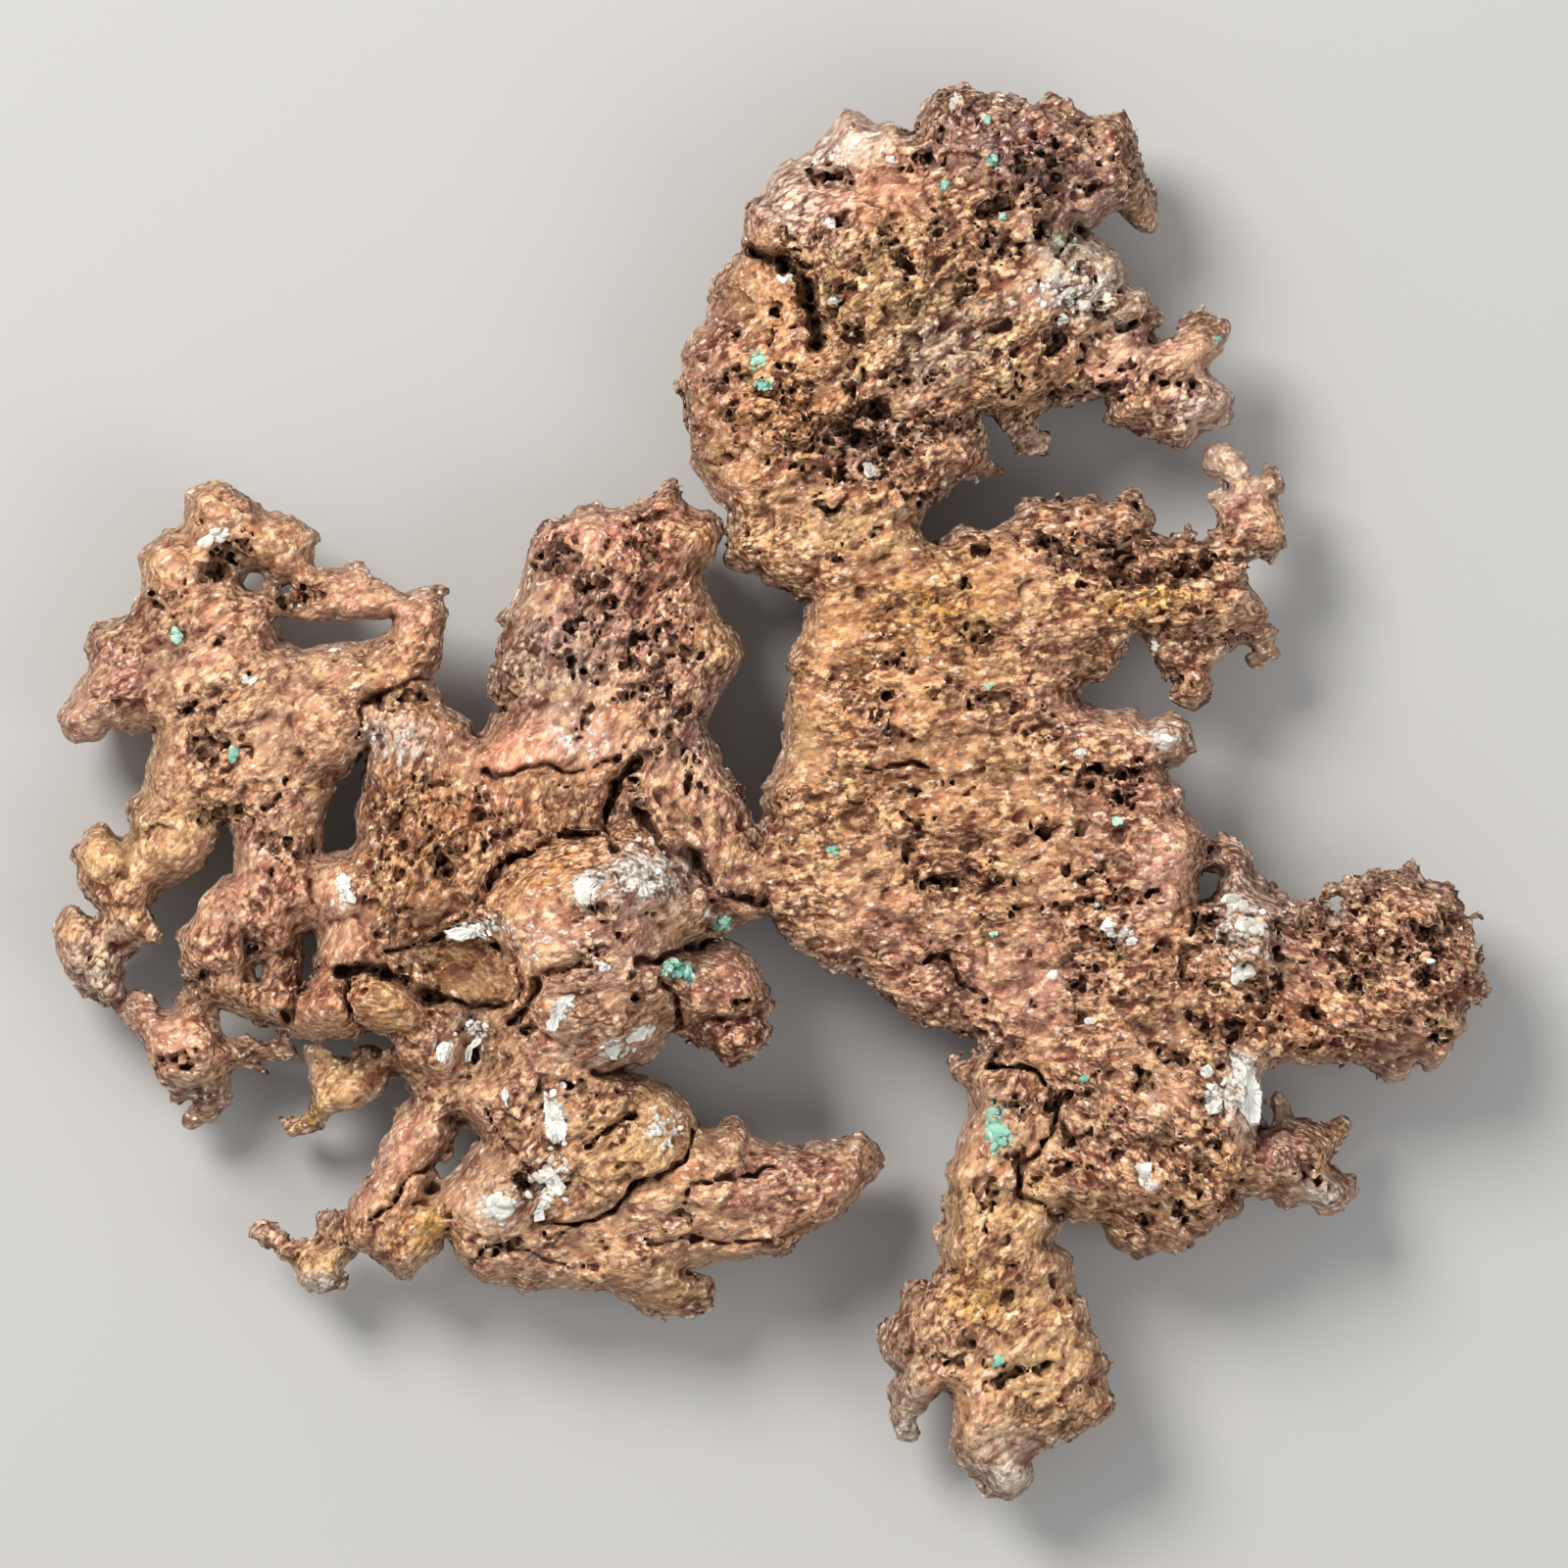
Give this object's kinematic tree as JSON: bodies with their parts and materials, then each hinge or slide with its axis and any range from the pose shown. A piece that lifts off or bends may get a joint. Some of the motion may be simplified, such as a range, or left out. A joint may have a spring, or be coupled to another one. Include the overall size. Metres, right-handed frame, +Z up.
{
  "type": "native copper nugget",
  "caption": "Flat, branching lump of native copper with lacy rounded lobes, pits, ledges and small pale and green mineral grains.",
  "frame": {"origin": "on the surface the nugget lies on, under the middle of its outline", "axes": "+Z up out of the flat nugget; +X to the right and +Y to the far side as it is seen from above"},
  "size_m": [0.1467, 0.1445, 0.0322],
  "materials": {
    "copper_orange": "weathered, dull orange-brown copper with a thin brown skin",
    "copper_gold": "granular golden-brown copper, dark in its hollows",
    "copper_rose": "dull rose-brown copper with a mauve cast",
    "copper_pale": "dull tan copper with paler, greyer rims",
    "pale_mineral": "white to pale grey mineral, slightly glossy",
    "green_mineral": "pale turquoise green mineral, dull"
  },
  "bodies": {
    "root": {"left_wing": "copper_orange", "left_limb": "copper_pale", "knot_limb": "copper_rose", "curl": "copper_rose", "tooth_prong": "copper_pale", "centre_body": "copper_gold", "tower": "copper_rose", "dome": "copper_rose", "shelf_lobe": "copper_gold", "lower_body": "copper_orange", "blade": "copper_pale", "strut": "copper_pale", "main_sheet": "copper_orange", "head_lobe": "copper_orange", "upper_right_arm": "copper_orange", "right_arm": "copper_rose", "lower_right_branch": "copper_orange", "foot": "copper_pale", "grain_wedge": "pale_mineral", "grain_ridge_upper": "pale_mineral", "grain_ridge_middle": "pale_mineral", "grain_ridge_lower": "pale_mineral", "grain_dome": "pale_mineral", "grain_shelf": "pale_mineral", "grain_tooth": "pale_mineral", "grain_knot": "pale_mineral", "grain_disc": "pale_mineral", "grain_finger": "pale_mineral", "green_grain_knob": "green_mineral", "green_grain_foot": "green_mineral"}
  },
  "joints": []
}
